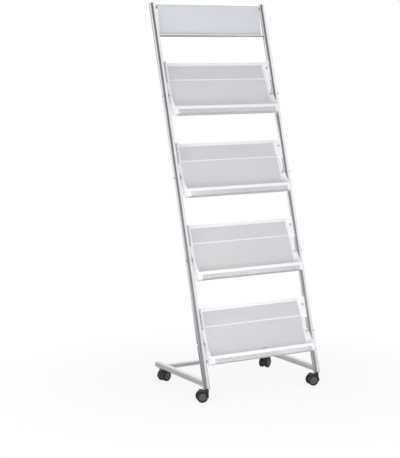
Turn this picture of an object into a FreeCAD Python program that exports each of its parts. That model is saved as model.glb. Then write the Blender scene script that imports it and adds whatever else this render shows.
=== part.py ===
"""Mobile periodical display rack.

Two chromed tubes lean back from two floor-level foot tubes, four bent steel
shelves hang between them, a folded header panel is hooked over two cross rails
at the top, and four twin-wheel casters carry the frame.

Frame: +X right, +Y back, +Z up, millimetres. The origin is on the floor, midway
between the four caster stems.

Leaning pieces are placed by two numbers: "along" is the distance up the
uprights from their bottom ends, "ahead" is the distance in front of the plane
through the two uprights.
"""
import FreeCAD, Part
import math
import os
import re

import Sketcher
from FreeCAD import Placement, Rotation, Vector

# ---------------------------------------------------------------- driving sizes
# Millimetres and degrees. One row for each size that can be set by itself.
SIZES = {
    # frame
    "upright_spacing": 480,          # between the axes of the two uprights
    "upright_length": 1419,          # bottom end to the seat of the top cap
    "lean": 16,                      # uprights lean back from the vertical
    "tube_diameter": 25,
    "tube_wall": 1.5,
    "wheelbase": 338,                # front stems to rear stems
    "frame_height": 50,              # floor to the underside of the frame
    "foot_overhang": 28,             # foot tube's end behind the rear stem
    "crossbar_diameter": 19,
    "crossbar_setback": 300,         # behind the uprights' bottom ends
    "crossbar_overlap": 6,           # bar end laps over the round of the foot tube
    # plugs in the tube ends
    "top_cap_height": 6,
    "foot_cap_thickness": 4,
    "plug_depth": 14,
    "plug_clearance": 0.05,
    "cap_rounding": 3.5,
    # header
    "rail_diameter": 10,
    "top_rail_drop": 6.5,            # upper rail's axis below the uprights' ends
    "rail_distance": 111.5,          # between the axes of the two rails
    "header_sheet": 1,
    "header_gap": 5.5,               # each side, panel to upright
    "header_drop": 3,                # panel's lower edge below the lower rail's axis
    "header_flange": 8,
    "hook_tail": 8,
    "rail_clearance": 0.2,
    # shelves
    "shelf_count": 4,
    "first_shelf_height": 77,        # heel of the lowest shelf, along the uprights
    "header_margin": 2,              # lower rail above where one more heel would be
    "shelf_ahead": 6,                # heel in front of the uprights' plane
    "shelf_gap": 3.5,                # each side, shelf to upright
    "shelf_sheet": 1.2,
    "panel_tilt": 6,                 # shelf panel leans back from the uprights
    "panel_height": 139,             # heel to crease
    "crease_angle": 6.5,
    "upper_panel_height": 71,        # crease to top edge
    "tray_depth": 32,
    "lip_height": 28,
    "hem_height": 9,
    "bend_radius": 3,                # outside of the tray's bends
    "crease_radius": 12,
    "gusset_height": 105,
    "openings_across": 12,           # plain grid that stands for the fine perforation
    "panel_openings_up": 4,
    "top_openings_up": 2,
    "opening_margin": 10,            # plain sheet at the ends and along the top edge
    "opening_land": 12.6,            # sheet left between two openings
    "ear_bottom": 129,               # above the heel, along the uprights
    "ear_reach": 15,                 # ear's front edge ahead of the uprights' plane
    # shelf fasteners
    "bolt_diameter": 4,
    "bolt_height": 78,               # up the panel from the heel
    "bolt_forward": 5.2,             # in front of the panel's back face
    "bolt_tip": 1,                   # thread showing past the nut
    "head_diameter": 8,
    "head_height": 2.5,
    "head_rounding": 1.8,
    "nut_width": 7,
    "nut_height": 3.2,
    "screw_height": 180,             # above the heel, along the uprights
    "screw_reach": 8,                # past the upright's inner side
    "spacer_diameter": 12,
    # caster stems and their seats
    "stem_diameter": 8,
    "stem_length": 22,
    "collar_diameter": 12,
    "collar_height": 1.5,
    "neck_diameter": 9,
    "pin_diameter": 6,
    "pin_length": 17,
    "seat_drop": 2,                  # stem's seat below the underside of the frame
    "socket_depth": 24,
    "bush_diameter": 14,
    "bush_depth": 18,
    # casters
    "wheel_diameter": 40,
    "wheel_width": 12.5,
    "wheel_spacing": 23,             # between the middles of the two wheels
    "trail": 18,                     # stem axis to wheel axis
    "tyre_thickness": 5.5,
    "tread_rounding": 3,
    "hub_wall": 1.5,
    "hub_boss_diameter": 10,
    "hub_inset": 0.75,               # hub's inner face inside the tyre's side
    "cap_thickness": 1.6,
    "cap_dish": 0.7,                 # depth of the groove round the cap's middle
    "cap_hollow": 0.25,              # depth of the cap's face inside its rim
    "cap_rim": 2,
    "cap_button_diameter": 6.6,
    "cap_gap": 0.2,                  # cap edge to tyre
    "axle_diameter": 5,
    "axle_end_gap": 0.3,
    "running_clearance": 0.05,
    "side_clearance": 0.3,
    "hood_height": 43,               # floor to the hood's top
    "web_thickness": 9,
    "web_rounding": 4,
    "web_shoulder": 60,              # degrees, where the web leaves the crown
    "hood_boss_diameter": 16,
    "hood_boss_height": 7.5,
    "hood_boss_margin": 1,           # boss edge outside the web
    "axle_boss_radius": 8,
    "crown_gap": 1.2,                # hood to tread
    "crown_thickness": 2,
    "crown_width": 32,
    "crown_front": 65,               # degrees, where the hood's arc begins
    "crown_back": 190,               # degrees, where it ends beside the stem
    # how the casters happen to stand: direction from stem to axle, from +X
    "front_left_swivel": 162,
    "front_right_swivel": 170,
    "rear_left_swivel": 18,
    "rear_right_swivel": 210,
}

# Sizes that follow from the ones above, as expressions over them.
DERIVED = {
    "tube_radius": "tube_diameter / 2",
    "tube_bore": "tube_diameter - 2 * tube_wall",
    "upright_x": "upright_spacing / 2",
    "front_y": "-wheelbase / 2",
    "rear_y": "wheelbase / 2",
    "foot_z": "frame_height + tube_radius",
    "foot_start": "front_y + tube_radius * tan(lean * 1deg)",
    "foot_end": "rear_y + foot_overhang - foot_cap_thickness",
    "plug_diameter": "tube_bore - 2 * plug_clearance",
    "rail_grip": "rail_diameter / 2 + rail_clearance",
    "upper_rail_height": "upright_length - top_rail_drop",
    "lower_rail_height": "upper_rail_height - rail_distance",
    "header_sine": "(2 * rail_grip + header_sheet) / rail_distance",
    "header_width": "upright_spacing - tube_diameter - 2 * header_gap",
    "hook_y": "2 * rail_grip + header_sheet",
    "hook_z": "rail_distance * sqrt(1 - header_sine * header_sine)",
    "shelf_pitch": "(lower_rail_height - header_margin - first_shelf_height) / shelf_count",
    "shelf_width": "upright_spacing - tube_diameter - 2 * shelf_gap",
    "shelf_side": "shelf_width / 2",
    "inner_width": "shelf_width - 2 * shelf_sheet",
    "opening_pitch": "(shelf_width - 2 * opening_margin) / openings_across",
    "panel_open_height": "panel_height - bend_radius",
    "top_open_height": "upper_panel_height - opening_margin",
    "tilt_sine": "sin(panel_tilt * 1deg)",
    "tilt_cosine": "cos(panel_tilt * 1deg)",
    "crease_sine": "sin(crease_angle * 1deg)",
    "crease_cosine": "cos(crease_angle * 1deg)",
    "top_forward": "-upper_panel_height * crease_sine",
    "top_up": "panel_height + upper_panel_height * crease_cosine",
    "top_along": "top_up * tilt_cosine + top_forward * tilt_sine",
    "ear_ahead": "ear_reach - shelf_ahead",
    "ear_low_forward": "ear_bottom * tilt_sine + ear_ahead * tilt_cosine",
    "ear_low_up": "ear_bottom * tilt_cosine - ear_ahead * tilt_sine",
    "ear_root_up": "ear_low_up + (ear_low_forward - shelf_sheet) * tilt_sine / tilt_cosine",
    "ear_top_forward": "top_along * tilt_sine + ear_ahead * tilt_cosine",
    "ear_top_up": "top_along * tilt_cosine - ear_ahead * tilt_sine",
    "bolt_along": "bolt_height * tilt_cosine + bolt_forward * tilt_sine",
    "bolt_ahead": "shelf_ahead + bolt_forward * tilt_cosine - bolt_height * tilt_sine",
    "bolt_length": "tube_diameter + shelf_gap + shelf_sheet + nut_height + bolt_tip",
    "screw_forward": "screw_height * tilt_sine - shelf_ahead * tilt_cosine",
    "screw_up": "screw_height * tilt_cosine + shelf_ahead * tilt_sine",
    "screw_length": "shelf_sheet + shelf_gap + screw_reach",
    "seat_z": "frame_height - seat_drop",
    "collar_z": "seat_z - collar_height",
    "pin_top": "hood_height + side_clearance",
    "pin_bottom": "pin_top - pin_length",
    "pin_bore": "pin_diameter + 2 * running_clearance",
    "wheel_radius": "wheel_diameter / 2",
    "wheel_offset": "wheel_spacing / 2",
    "half_width": "wheel_width / 2",
    "hub_radius": "wheel_radius - tyre_thickness",
    "hub_bore": "axle_diameter + 2 * running_clearance",
    "hub_inner": "-(half_width - hub_inset)",
    "hub_outer": "half_width - cap_thickness",
    "cap_radius": "hub_radius - cap_gap",
    "axle_length": "wheel_spacing + 2 * (hub_outer - axle_end_gap)",
    "axle_boss_width": "wheel_spacing - 2 * (half_width - hub_inset) - 2 * side_clearance",
    "crown_inner": "wheel_radius + crown_gap",
    "crown_outer": "crown_inner + crown_thickness",
}

doc = FreeCAD.newDocument("display_rack")
sizes = doc.addObject("Spreadsheet::Sheet", "Sizes")
for row, (alias, number) in enumerate(SIZES.items(), 1):
    sizes.set(f"A{row}", str(number))
    sizes.setAlias(f"A{row}", alias)
doc.recompute()


def linked(text):
    """Write an expression over size names as one that the document's objects can read."""
    def link(match):
        word = match.group(0)
        if word in DERIVED:
            return f"({linked(DERIVED[word])})"
        return f"Sizes.{word}" if word in SIZES else word
    return re.sub(r"[a-z_]+", link, str(text))


def size(text):
    """Number that an expression over the sheet's sizes gives."""
    return float(sizes.evalExpression(linked(text)))


# ------------------------------------------------------------- sketches, features
def new_body(name):
    """Empty PartDesign body under its node's name."""
    body = doc.addObject("PartDesign::Body", name)
    body.Label = name
    return body


def new_sketch(body, plane, name):
    """Empty sketch on one of the body's origin planes."""
    sketch = body.newObject("Sketcher::SketchObject", name)
    support = next(item for item in body.Origin.OriginFeatures if item.Role == plane)
    sketch.AttachmentSupport = [(support, "")]
    sketch.MapMode = "FlatFace"
    return sketch


def constrain(sketch, kind, *geometry, value):
    """Add a dimension whose value is an expression over the sheet."""
    index = sketch.addConstraint(Sketcher.Constraint(kind, *geometry, size(value)))
    sketch.setExpression(f"Constraints[{index}]", linked(value))


def hold(sketch, geometry, vertex, across, up):
    """Hold one vertex of a sketch at the place that two expressions give."""
    for kind, axis, value in (("DistanceX", -2, across), ("DistanceY", -1, up)):
        if str(value) == "0":
            sketch.addConstraint(Sketcher.Constraint("PointOnObject", geometry, vertex, axis))
        else:
            constrain(sketch, kind, -1, 1, geometry, vertex, value=value)


def outline(body, plane, points, name):
    """Closed outline of straight lines through points given as pairs of expressions."""
    sketch = new_sketch(body, plane, name)
    corners = [Vector(size(across), size(up), 0) for across, up in points]
    for index, corner in enumerate(corners):
        following = (index + 1) % len(corners)
        sketch.addGeometry(Part.LineSegment(corner, corners[following]))
    for index, (across, up) in enumerate(points):
        following = (index + 1) % len(corners)
        sketch.addConstraint(Sketcher.Constraint("Coincident", index, 2, following, 1))
        hold(sketch, index, 1, across, up)
    return sketch


def circles(body, plane, rounds, name):
    """Sketch of circles, each given as (across, up, diameter) expressions."""
    sketch = new_sketch(body, plane, name)
    for index, (across, up, diameter) in enumerate(rounds):
        centre = Vector(size(across), size(up), 0)
        sketch.addGeometry(Part.Circle(centre, Vector(0, 0, 1), size(diameter) / 2))
        hold(sketch, index, 3, across, up)
        constrain(sketch, "Diameter", index, value=diameter)
    return sketch


def ring_sector(body, plane, centre, radii, angles, name):
    """Sketch of a curved band: two arcs about one centre, closed by two radial lines."""
    sketch = new_sketch(body, plane, name)
    middle = Vector(size(centre[0]), size(centre[1]), 0)
    start, end = (math.radians(size(angle)) for angle in angles)
    for radius in radii:
        circle = Part.Circle(middle, Vector(0, 0, 1), size(radius))
        sketch.addGeometry(Part.ArcOfCircle(circle, start, end))
    for turn in (start, end):
        ray = Vector(math.cos(turn), math.sin(turn), 0)
        near, far = (middle + ray * size(radius) for radius in radii)
        sketch.addGeometry(Part.LineSegment(near, far))
    hold(sketch, 0, 3, *centre)
    sketch.addConstraint(Sketcher.Constraint("Coincident", 1, 3, 0, 3))
    for arc, radius in enumerate(radii):
        constrain(sketch, "Radius", arc, value=radius)
        for line, arc_end in ((2, 1), (3, 2)):
            sketch.addConstraint(Sketcher.Constraint("Coincident", line, arc + 1, arc, arc_end))
    for line, angle in ((2, angles[0]), (3, angles[1])):
        sketch.addConstraint(Sketcher.Constraint("PointOnObject", 0, 3, line))
        turn = math.radians(size(angle))
        index = sketch.addConstraint(Sketcher.Constraint("Angle", line, turn))
        sketch.setExpression(f"Constraints[{index}]", f"({linked(angle)}) * 1deg")
    return sketch


def pad(body, sketch, length, both_ways=True, name="pad"):
    """Extrude a sketch, half to each side of its plane unless told otherwise."""
    feature = body.newObject("PartDesign::Pad", name)
    feature.Profile = sketch
    feature.Midplane = both_ways
    feature.setExpression("Length", linked(length))
    return feature


def pocket(body, sketch, length=None, reverse=False, name="pocket"):
    """Cut a sketch: right through, a width about its plane, or to one side of it."""
    feature = body.newObject("PartDesign::Pocket", name)
    feature.Profile = sketch
    if length is None:
        feature.Type = "ThroughAll"
        feature.Midplane = True
    else:
        feature.Reversed = reverse
        feature.setExpression("Length", linked(length))
    return feature


def middle_pocket(body, sketch, length, name="pocket"):
    """Cut a sketch to a width that is half to each side of its plane."""
    feature = pocket(body, sketch, length, name=name)
    feature.Midplane = True
    return feature


def grid_of(body, cut, columns, rows):
    """Repeat a cut along its sketch's two axes, each given as a count and a spacing."""
    grid = body.newObject("PartDesign::LinearPattern", f"{cut.Name}_grid")
    grid.Originals = [cut]
    body.Tip = grid
    for way, axis, (count, spacing) in (("", "H_Axis", columns), ("2", "V_Axis", rows)):
        setattr(grid, f"Direction{way}", (cut.Profile[0], [axis]))
        grid.setExpression(f"Occurrences{way}", linked(count))
        grid.setExpression(f"Length{way}", linked(f"({count} - 1) * ({spacing})"))
    return grid


def revolve(body, sketch, name="turned"):
    """Turn a sketch once about its own vertical axis."""
    feature = body.newObject("PartDesign::Revolution", name)
    feature.Profile = sketch
    feature.ReferenceAxis = (sketch, ["V_Axis"])
    feature.Angle = 360
    return feature


def edges_through(shape, places, direction=None):
    """Names of a shape's edges that pass through the places, along a direction if given."""
    names = []
    for number, edge in enumerate(shape.Edges, 1):
        if direction is not None:
            course = edge.tangentAt(edge.FirstParameter)
            if abs(course.dot(direction)) < 0.999:
                continue
        if any(edge.distToShape(Part.Vertex(place))[0] < 1e-3 for place in places):
            names.append(f"Edge{number}")
    return names


def fillet(body, base, names, radius, name="rounding"):
    """Round the named edges of a feature."""
    feature = body.newObject("PartDesign::Fillet", name)
    feature.Base = (base, names)
    feature.setExpression("Radius", linked(radius))
    return feature


# -------------------------------------------------------------------- placements
def leaning(x, along, ahead, tilt="0"):
    """Place a piece by its distance up the uprights and in front of them."""
    angle = math.radians(size("lean"))
    up, out = size(along), size(ahead)
    base = Vector(
        size(x),
        size("front_y") + up * math.sin(angle) - out * math.cos(angle),
        size("frame_height") + up * math.cos(angle) + out * math.sin(angle),
    )
    return Placement(base, Rotation(Vector(1, 0, 0), -size("lean") - size(tilt)))


def facing_out(side, x, along, ahead, tilt="0"):
    """Leaning place of a fastener whose head points away from the middle of the rack."""
    place = leaning(f"{side} * ({x})", along, ahead, tilt)
    return place.multiply(Placement(Vector(), Rotation(Vector(0, 1, 0), side * 90)))


def group(name, master, places):
    """One node that holds a separate solid of the same piece at each place."""
    doc.recompute()
    solids = []
    for place in places:
        solid = master.Shape.copy()
        solid.Placement = place.multiply(master.Shape.Placement)
        solids.append(solid)
    node = doc.addObject("Part::Feature", name)
    node.Label = name
    node.Shape = Part.makeCompound(solids)
    return node


SHELVES = range(int(size("shelf_count")))
SIDES = (-1, 1)
SIDE_NAMES = {-1: "left", 1: "right"}
ACROSS = Vector(1, 0, 0)


def shelf_along(index, extra="0"):
    """Distance up the uprights of a point that lies above a shelf's heel."""
    return f"first_shelf_height + {index} * shelf_pitch + {extra}"


# ------------------------------------------------------------------- frame tubes
def solid_cylinder(name, diameter, height, place):
    """Plain cylinder used as a bar or as a cutting tool."""
    bar = doc.addObject("Part::Cylinder", name)
    bar.setExpression("Radius", linked(f"({diameter}) / 2"))
    bar.setExpression("Height", linked(height))
    bar.Placement = place
    return bar


def boolean(kind, name, base, tool):
    """Part boolean of two objects, named as its node."""
    result = doc.addObject(f"Part::{kind}", name)
    result.Label = name
    result.Base = base
    result.Tool = tool
    return result


def make_upright(side):
    """Chromed tube, cut level at the floor end, drilled for shelves and rails."""
    body = new_body(f"{SIDE_NAMES[side]}_upright")
    section = circles(body, "XY_Plane", [("0", "0", "tube_diameter"), ("0", "0", "tube_bore")],
                      "section")
    section.setExpression("AttachmentOffset.Base.z", linked("-tube_radius"))
    pad(body, section, "upright_length + tube_radius", both_ways=False, name="tube")
    slope = "tube_diameter * tan(lean * 1deg)"
    foot_cut = [("-tube_diameter", f"-{slope}"), ("tube_diameter", slope),
                ("tube_diameter", "-tube_diameter"), ("-tube_diameter", "-tube_diameter")]
    pocket(body, outline(body, "YZ_Plane", foot_cut, "level"), name="level_end")
    bolts = [("-bolt_ahead", shelf_along(index, "bolt_along"), "bolt_diameter")
             for index in SHELVES]
    pocket(body, circles(body, "YZ_Plane", bolts, "bolt_holes"), name="bolt_drilling")
    screws = [("0", shelf_along(index, "screw_height"), "bolt_diameter") for index in SHELVES]
    pocket(body, circles(body, "YZ_Plane", screws, "screw_holes"), "tube_radius",
           reverse=side < 0, name="screw_drilling")
    body.Placement = leaning(f"{side} * upright_x", "0", "0")
    return body


def upright_core(side, name):
    """Solid cylinder in the place of an upright, for coping what is welded to it."""
    place = leaning(f"{side} * upright_x", "-tube_diameter", "0")
    return solid_cylinder(name, "tube_diameter", "upright_length + tube_diameter", place)


def foot_core(side, diameter, name):
    """Cylinder along a foot tube, from the upright's axis to the foot's end."""
    place = Placement(Vector(side * size("upright_x"), size("foot_start"), size("foot_z")),
                      Rotation(ACROSS, -90))
    return solid_cylinder(name, diameter, "foot_end - foot_start", place)


def make_foot(side):
    """Foot tube, coped to the upright and bored for the rear stem's bush."""
    label = SIDE_NAMES[side]
    tube = boolean("Cut", f"{label}_foot_blank", foot_core(side, "tube_diameter", "foot_round"),
                   foot_core(side, "tube_bore", "foot_hollow"))
    coped = boolean("Cut", f"{label}_foot_coped", tube, upright_core(side, "foot_cope"))
    drill = solid_cylinder("bush_drill", "bush_diameter", "seat_drop + tube_radius",
                           Placement(Vector(side * size("upright_x"), size("rear_y"),
                                            size("seat_z")), Rotation()))
    return boolean("Cut", f"{label}_foot_tube", coped, drill)


def crosswise_bar(name, diameter, half_length, place):
    """Bar along X, with its middle at the given place."""
    start = place.multiply(Placement(Vector(-size(half_length), 0, 0),
                                     Rotation(Vector(0, 1, 0), 90)))
    return solid_cylinder(f"{name}_round", diameter, f"2 * ({half_length})", start)


def make_crossbar():
    """Rear bar between the foot tubes, flush with their tops and coped to them."""
    height = size("foot_z + tube_radius - crossbar_diameter / 2")
    middle = Placement(Vector(0, size("front_y + crossbar_setback"), height), Rotation())
    bar = crosswise_bar("rear_crossbar", "crossbar_diameter",
                        "upright_x - tube_radius + crossbar_overlap", middle)
    left_coped = boolean("Cut", "crossbar_left_coped", bar,
                         foot_core(-1, "tube_diameter", "crossbar_left_cope"))
    return boolean("Cut", "rear_crossbar", left_coped,
                   foot_core(1, "tube_diameter", "crossbar_right_cope"))


def make_rail(name, along):
    """Header rail, coped to the two uprights."""
    bar = crosswise_bar(name, "rail_diameter", "upright_x", leaning("0", along, "0"))
    left_coped = boolean("Cut", f"{name}_left_coped", bar, upright_core(-1, f"{name}_left_cope"))
    return boolean("Cut", name, left_coped, upright_core(1, f"{name}_right_cope"))


def make_tube_cap(name, thickness):
    """Round-edged cap with a plug, standing on the plane z = 0 of its own frame."""
    body = new_body(name)
    profile = [("0", "-plug_depth"), ("plug_diameter / 2", "-plug_depth"),
               ("plug_diameter / 2", "0"), ("tube_radius", "0"),
               ("tube_radius", thickness), ("0", thickness)]
    turned = revolve(body, outline(body, "XZ_Plane", profile, "profile"))
    doc.recompute()
    rim = edges_through(turned.Shape, [Vector(size("tube_radius"), 0, size(thickness))])
    fillet(body, turned, rim, "cap_rounding")
    return body


def make_stem_socket(name):
    """Plug in an upright's level-cut end, with an upright bore for a caster stem."""
    lean_only = leaning("0", "-tube_diameter", "0")
    span = "socket_depth + tube_diameter"
    plug = solid_cylinder("socket_plug", "plug_diameter", span, lean_only)
    rim = solid_cylinder("socket_rim", "tube_diameter", span, lean_only)
    slab = doc.addObject("Part::Box", "socket_slab")
    below = doc.addObject("Part::Box", "socket_below")
    for block, height in ((slab, "seat_drop"), (below, "2 * tube_diameter")):
        block.setExpression("Length", linked("2 * tube_diameter"))
        block.setExpression("Width", linked("2 * tube_diameter"))
        block.setExpression("Height", linked(height))
        corner = Vector(-size("tube_diameter"), size("front_y - tube_diameter"), 0)
        block.Placement = Placement(corner, Rotation())
    slab.Placement.Base.z = size("seat_z")
    below.Placement.Base.z = size("frame_height - 2 * tube_diameter")
    trimmed = boolean("Cut", "socket_trimmed", plug, below)
    flange = boolean("Common", "socket_flange", rim, slab)
    joined = boolean("Fuse", "socket_joined", trimmed, flange)
    bore = solid_cylinder("socket_bore", "stem_diameter", "seat_drop + socket_depth",
                          Placement(Vector(0, size("front_y"), size("seat_z")), Rotation()))
    return boolean("Cut", name, joined, bore)


def make_frame():
    """Tubes, bars, caps and stem seats."""
    nodes = []
    for side in SIDES:
        nodes.append(make_upright(side))
        nodes.append(make_foot(side))
    nodes.append(make_crossbar())
    nodes.append(make_rail("header_lower_rail", "lower_rail_height"))
    nodes.append(make_rail("header_upper_rail", "upper_rail_height"))

    top_cap = make_tube_cap("top_cap_pattern", "top_cap_height")
    nodes.append(group("upright_top_caps", top_cap,
                       [leaning(f"{side} * upright_x", "upright_length", "0")
                        for side in SIDES]))
    foot_cap = make_tube_cap("foot_cap_pattern", "foot_cap_thickness")
    ends = [Vector(side * size("upright_x"), size("foot_end"), size("foot_z")) for side in SIDES]
    nodes.append(group("foot_end_caps", foot_cap,
                       [Placement(end, Rotation(ACROSS, -90)) for end in ends]))

    socket = make_stem_socket("stem_socket_pattern")
    nodes.append(group("front_stem_sockets", socket,
                       [Placement(Vector(side * size("upright_x"), 0, 0), Rotation())
                        for side in SIDES]))
    bush = new_body("stem_bush_pattern")
    section = circles(bush, "XY_Plane", [("0", "0", "bush_diameter"), ("0", "0", "stem_diameter")],
                      "section")
    pad(bush, section, "bush_depth", both_ways=False)
    nodes.append(group("rear_stem_bushes", bush,
                       [Placement(Vector(side * size("upright_x"), size("rear_y"),
                                         size("seat_z")), Rotation())
                        for side in SIDES]))
    return nodes


# ------------------------------------------------------------------------ header
def make_header_panel():
    """Folded panel: behind the lower rail, hooked over the upper one."""
    body = new_body("header_panel")
    back = "rail_grip + header_sheet"
    sheet = [("rail_grip", "-header_drop"), (f"{back} + header_flange", "-header_drop"),
             (f"{back} + header_flange", "-header_drop + header_sheet"),
             (back, "-header_drop + header_sheet"), (back, "hook_z"), ("rail_grip", "hook_z")]
    pad(body, outline(body, "YZ_Plane", sheet, "sheet"), "header_width", name="face")
    hook = ring_sector(body, "YZ_Plane", ("hook_y", "hook_z"), ("rail_grip", back),
                       ("0", "180"), "hook")
    pad(body, hook, "header_width", name="hook_bend")
    near, far = "hook_y + rail_grip", f"hook_y + {back}"
    tail = [(near, "hook_z - hook_tail"), (far, "hook_z - hook_tail"),
            (far, "hook_z"), (near, "hook_z")]
    pad(body, outline(body, "YZ_Plane", tail, "tail"), "header_width", name="hook_tail_pad")
    turn = math.degrees(math.asin(size("header_sine")))
    body.Placement = leaning("0", "lower_rail_height", "0", f"{-turn}")
    return body


# ----------------------------------------------------------------------- shelves
def from_side(points):
    """Turn (forward, up) points of a shelf into the (back, up) of its side sketch."""
    return [(forward if forward == "0" else f"-({forward})", up) for forward, up in points]


def at_side(forward, up):
    """Point in the middle plane of a shelf, given as (forward, up)."""
    return Vector(0, -size(forward), size(up))


def open_sheet(body, name, start, turn, height, rows):
    """Cut a plain grid of openings in a flat stretch of a shelf, from its start upwards."""
    row = f"({height}) / {rows}"
    left = "opening_margin - shelf_side + opening_land / 2"
    right = "opening_margin - shelf_side + opening_pitch - opening_land / 2"
    low, high = "opening_land / 2", f"{row} - opening_land / 2"
    first = outline(body, "XZ_Plane", [(left, low), (right, low), (right, high), (left, high)],
                    f"{name}_opening")
    axis, angle = Vector(-1, 0, 0), size(turn)
    first.AttachmentOffset = Placement(Vector(0, size(start), 0), Rotation(axis, angle))
    first.setExpression("AttachmentOffset.Base.y", linked(start))
    if angle:
        first.setExpression("AttachmentOffset.Rotation.Angle", linked(f"({turn}) * 1deg"))
    cut = middle_pocket(body, first, "4 * shelf_sheet", name=f"{name}_cut")
    return grid_of(body, cut, ("openings_across", "opening_pitch"), (rows, row))


def make_shelf(index):
    """One bent sheet: tray with lip and end gussets, panel, creased top with ears."""
    body = new_body(f"shelf_{index + 1}")
    silhouette = [
        ("0", "0"),
        ("tray_depth", "0"),
        ("tray_depth", "lip_height"),
        ("shelf_sheet", "gusset_height"),
        ("shelf_sheet", "ear_root_up"),
        ("ear_low_forward", "ear_low_up"),
        ("ear_top_forward", "ear_top_up"),
        ("top_forward", "top_up"),
        ("0", "panel_height"),
    ]
    pad(body, outline(body, "YZ_Plane", from_side(silhouette), "side"), "shelf_width",
        name="blank")
    crease_up = "panel_height + shelf_sheet * tan(crease_angle * 1deg / 2)"
    past_top = "(upper_panel_height + tray_depth)"
    far = "ear_top_forward + tray_depth"
    lip_inside = "tray_depth - shelf_sheet"
    hem_inside = "tray_depth - 2 * shelf_sheet"
    hem_bottom = "lip_height - hem_height"
    space = [
        ("shelf_sheet", "shelf_sheet"),
        (lip_inside, "shelf_sheet"),
        (lip_inside, hem_bottom),
        (hem_inside, hem_bottom),
        (hem_inside, "lip_height"),
        (far, "lip_height"),
        (far, f"{crease_up} + {past_top} * crease_cosine"),
        (f"shelf_sheet - {past_top} * crease_sine", f"{crease_up} + {past_top} * crease_cosine"),
        ("shelf_sheet", crease_up),
    ]
    hollow = middle_pocket(body, outline(body, "YZ_Plane", from_side(space), "space"),
                           "inner_width", name="hollow")
    doc.recompute()
    outer = edges_through(hollow.Shape, [at_side("0", "0"), at_side("tray_depth", "0")], ACROSS)
    outside = fillet(body, hollow, outer, "bend_radius", name="outer_bends")
    doc.recompute()
    inner = edges_through(outside.Shape, [at_side("shelf_sheet", "shelf_sheet"),
                                          at_side(lip_inside, "shelf_sheet")], ACROSS)
    inside = fillet(body, outside, inner, "bend_radius - shelf_sheet", name="inner_bends")
    doc.recompute()
    creases = edges_through(inside.Shape, [at_side("0", "panel_height"),
                                           at_side("shelf_sheet", crease_up)], ACROSS)
    fillet(body, inside, creases, "crease_radius", name="crease")
    holes = [("-bolt_forward", "bolt_height", "bolt_diameter"),
             ("-(screw_forward)", "screw_up", "bolt_diameter")]
    pocket(body, circles(body, "YZ_Plane", holes, "fixings"), name="fixing_holes")
    open_sheet(body, "panel", "bend_radius", "0", "panel_open_height", "panel_openings_up")
    open_sheet(body, "top", "panel_height", "crease_angle", "top_open_height", "top_openings_up")
    body.Placement = leaning("0", shelf_along(index), "shelf_ahead", "panel_tilt")
    return body


def make_headed_pin(name, length):
    """Domed-head bolt or screw: head above z = 0, shank below."""
    body = new_body(name)
    profile = [("0", f"-({length})"), ("bolt_diameter / 2", f"-({length})"),
               ("bolt_diameter / 2", "0"), ("head_diameter / 2", "0"),
               ("head_diameter / 2", "head_height"), ("0", "head_height")]
    turned = revolve(body, outline(body, "XZ_Plane", profile, "profile"))
    doc.recompute()
    rim = edges_through(turned.Shape, [Vector(size("head_diameter / 2"), 0, size("head_height"))])
    fillet(body, turned, rim, "head_rounding")
    return body


def make_nut(name):
    """Hexagon nut, one face on z = 0, with two flats facing front and back."""
    prism = doc.addObject("Part::Prism", "nut_hexagon")
    prism.Polygon = 6
    prism.setExpression("Circumradius", linked("nut_width / 2 / cos(30deg)"))
    prism.setExpression("Height", linked("nut_height"))
    bore = solid_cylinder("nut_bore", "bolt_diameter", "nut_height", Placement())
    return boolean("Cut", name, prism, bore)


def make_shelf_fasteners():
    """Bolts, nuts, screws and spacers of all the shelves, one node for each kind."""
    bolt = make_headed_pin("bolt_pattern", "bolt_length")
    screw = make_headed_pin("screw_pattern", "screw_length")
    nut = make_nut("nut_pattern")
    spacer = new_body("spacer_pattern")
    section = circles(spacer, "XY_Plane",
                      [("0", "0", "spacer_diameter"), ("0", "0", "bolt_diameter")], "section")
    pad(spacer, section, "shelf_gap", both_ways=False)

    seats = [(side, index) for index in SHELVES for side in SIDES]
    at_bolt = {seat: (shelf_along(seat[1], "bolt_along"), "bolt_ahead") for seat in seats}
    at_screw = {seat: (shelf_along(seat[1], "screw_height"), "0") for seat in seats}
    inside = "shelf_side - shelf_sheet"
    turned = {-1: 90, 1: -90}
    nodes = [
        group("shelf_bolts", bolt, [facing_out(side, "upright_x + tube_radius", *at_bolt[side, index])
                                    for side, index in seats]),
        group("shelf_nuts", nut,
              [facing_out(side, f"{inside} - nut_height", *at_bolt[side, index], "panel_tilt")
               for side, index in seats]),
        group("shelf_screws", screw,
              [leaning(f"{side} * ({inside})", *at_screw[side, index]).multiply(
                  Placement(Vector(), Rotation(Vector(0, 1, 0), turned[side])))
               for side, index in seats]),
        group("shelf_spacers", spacer,
              [facing_out(side, "shelf_side", *at[side, index])
               for at in (at_bolt, at_screw) for side, index in seats]),
    ]
    return nodes


# ----------------------------------------------------------------------- casters
def make_stem(name):
    """Turned steel stem: thread, collar, neck and the pin that the hood swivels on."""
    body = new_body(name)
    profile = [
        ("0", "pin_bottom"), ("pin_diameter / 2", "pin_bottom"),
        ("pin_diameter / 2", "pin_top"), ("neck_diameter / 2", "pin_top"),
        ("neck_diameter / 2", "collar_z"), ("collar_diameter / 2", "collar_z"),
        ("collar_diameter / 2", "seat_z"), ("stem_diameter / 2", "seat_z"),
        ("stem_diameter / 2", "seat_z + stem_length"), ("0", "seat_z + stem_length"),
    ]
    revolve(body, outline(body, "XZ_Plane", profile, "profile"))
    return body


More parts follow.
